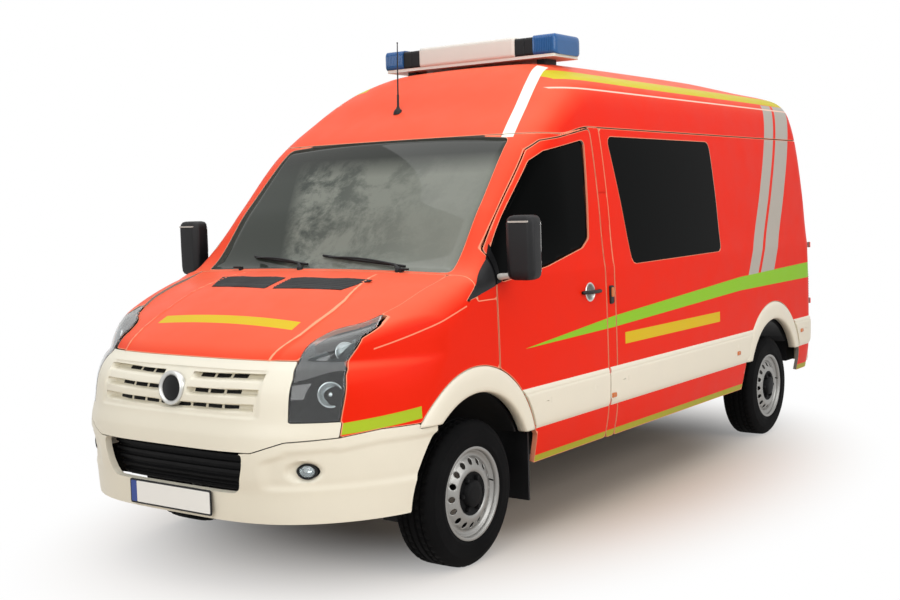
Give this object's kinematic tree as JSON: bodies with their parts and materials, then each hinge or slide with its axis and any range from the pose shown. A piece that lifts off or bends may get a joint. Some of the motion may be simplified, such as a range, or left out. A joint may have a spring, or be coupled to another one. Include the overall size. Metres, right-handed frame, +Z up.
{
  "type": "fire service van",
  "caption": "Panel van of a fire service with opening doors and bonnet, steered and turning wheels, side windows and a blue light bar on a raised roof.",
  "frame": {"origin": "on the ground under the middle of the van: mid width, mid length, tyre contact height", "axes": "+Z up, -Y towards the front of the van, +X towards its left side"},
  "size_m": [2.43, 5.5692, 2.628],
  "materials": {
    "red_paint": "gloss luminous red lacquer",
    "white_trim": "satin off-white moulded plastic",
    "black_plastic": "grained black plastic",
    "chassis_steel": "dark chassis coating",
    "engine_iron": "as cast",
    "exhaust_steel": "dull steel",
    "tank_plastic": "moulded plastic",
    "lamp_clear": "clear lens over dark housing",
    "lamp_red": "red lens",
    "windscreen_glass": "laminated glass",
    "dark_glass": "dark tinted glass",
    "bar_white": "cream white housing",
    "bar_blue": "blue translucent dome",
    "dash_plastic": "grained plastic",
    "seat_cloth": "woven seat cloth",
    "tyre_rubber": "black rubber",
    "wheel_steel": "silver lacquered steel"
  },
  "bodies": {
    "body": {"floor_pan": "chassis_steel", "cab_frame": "red_paint", "left_side_panel": "red_paint", "right_side_panel": "red_paint", "sliding_door": "red_paint", "roof": "red_paint", "front_wings": "red_paint", "grille": "white_trim", "front_bumper": "white_trim", "lower_intake_grille": "black_plastic", "headlamps": "lamp_clear", "fog_lamps": "lamp_clear", "windscreen": "windscreen_glass", "side_glass": "dark_glass", "wheel_liners": "black_plastic", "quarter_trims": "black_plastic", "tail_lamps": "lamp_red", "rear_bumper": "white_trim", "side_mouldings": "white_trim", "wheel_arch_trims": "white_trim", "mud_flaps": "black_plastic", "light_bar": "bar_white", "light_bar_domes": "bar_blue", "antenna": "black_plastic", "wipers": "black_plastic", "bonnet_pins": "chassis_steel", "front_subframe": "chassis_steel", "rear_axle": "chassis_steel", "engine_block": "engine_iron", "exhaust": "exhaust_steel", "fuel_tank": "tank_plastic", "dashboard": "dash_plastic", "steering_wheel": "black_plastic", "cab_seats": "seat_cloth", "crew_seats": "seat_cloth"},
    "bonnet": {"bonnet": "red_paint"},
    "left_door": {"left_door": "red_paint", "left_door_glass": "dark_glass", "left_door_trim": "white_trim", "left_mirror": "black_plastic"},
    "right_door": {"right_door": "red_paint", "right_door_glass": "dark_glass", "right_door_trim": "white_trim", "right_mirror": "black_plastic"},
    "left_rear_door": {"left_rear_door": "red_paint", "left_rear_glass": "dark_glass"},
    "right_rear_door": {"right_rear_door": "red_paint", "right_rear_glass": "dark_glass"},
    "front_left_knuckle": {"front_left_knuckle": "chassis_steel"},
    "front_right_knuckle": {"front_right_knuckle": "chassis_steel"},
    "front_left_wheel": {"front_left_tyre": "tyre_rubber", "front_left_rim": "wheel_steel"},
    "front_right_wheel": {"front_right_tyre": "tyre_rubber", "front_right_rim": "wheel_steel"},
    "rear_left_wheel": {"rear_left_tyre": "tyre_rubber", "rear_left_rim": "wheel_steel"},
    "rear_right_wheel": {"rear_right_tyre": "tyre_rubber", "rear_right_rim": "wheel_steel"}
  },
  "joints": [
    {"name": "bonnet_hinge", "type": "hinge", "parent": "body", "child": "bonnet", "pos_m": [0, -1.755, 1.384], "axis": [-1, 0, 0], "range_deg": [0, 55]},
    {"name": "left_door_hinge", "type": "hinge", "parent": "body", "child": "left_door", "pos_m": [0.997, -1.592, 1.1], "axis": [0, 0, -1], "range_deg": [0, 70]},
    {"name": "right_door_hinge", "type": "hinge", "parent": "body", "child": "right_door", "pos_m": [-0.997, -1.592, 1.1], "axis": [0, 0, 1], "range_deg": [0, 70]},
    {"name": "left_rear_door_hinge", "type": "hinge", "parent": "body", "child": "left_rear_door", "pos_m": [0.931, 2.767, 1.3], "axis": [0, 0, -1], "range_deg": [0, 170]},
    {"name": "right_rear_door_hinge", "type": "hinge", "parent": "body", "child": "right_rear_door", "pos_m": [-0.931, 2.767, 1.3], "axis": [0, 0, 1], "range_deg": [0, 170]},
    {"name": "left_steer", "type": "hinge", "parent": "body", "child": "front_left_knuckle", "pos_m": [0.76, -1.785, 0.345], "axis": [0, 0, 1], "range_deg": [-35, 35]},
    {"name": "right_steer", "type": "hinge", "parent": "body", "child": "front_right_knuckle", "pos_m": [-0.76, -1.785, 0.345], "axis": [0, 0, 1], "range_deg": [-35, 35]},
    {"name": "front_left_spin", "type": "hinge", "parent": "front_left_knuckle", "child": "front_left_wheel", "pos_m": [0.846, -1.785, 0.345], "axis": [1, 0, 0], "continuous": true},
    {"name": "front_right_spin", "type": "hinge", "parent": "front_right_knuckle", "child": "front_right_wheel", "pos_m": [-0.846, -1.785, 0.345], "axis": [1, 0, 0], "continuous": true},
    {"name": "rear_left_spin", "type": "hinge", "parent": "body", "child": "rear_left_wheel", "pos_m": [0.846, 1.88, 0.345], "axis": [1, 0, 0], "continuous": true},
    {"name": "rear_right_spin", "type": "hinge", "parent": "body", "child": "rear_right_wheel", "pos_m": [-0.846, 1.88, 0.345], "axis": [1, 0, 0], "continuous": true}
  ],
  "couplings": [
    {"joint": "right_steer", "follows": "left_steer", "ratio": 1}
  ]
}
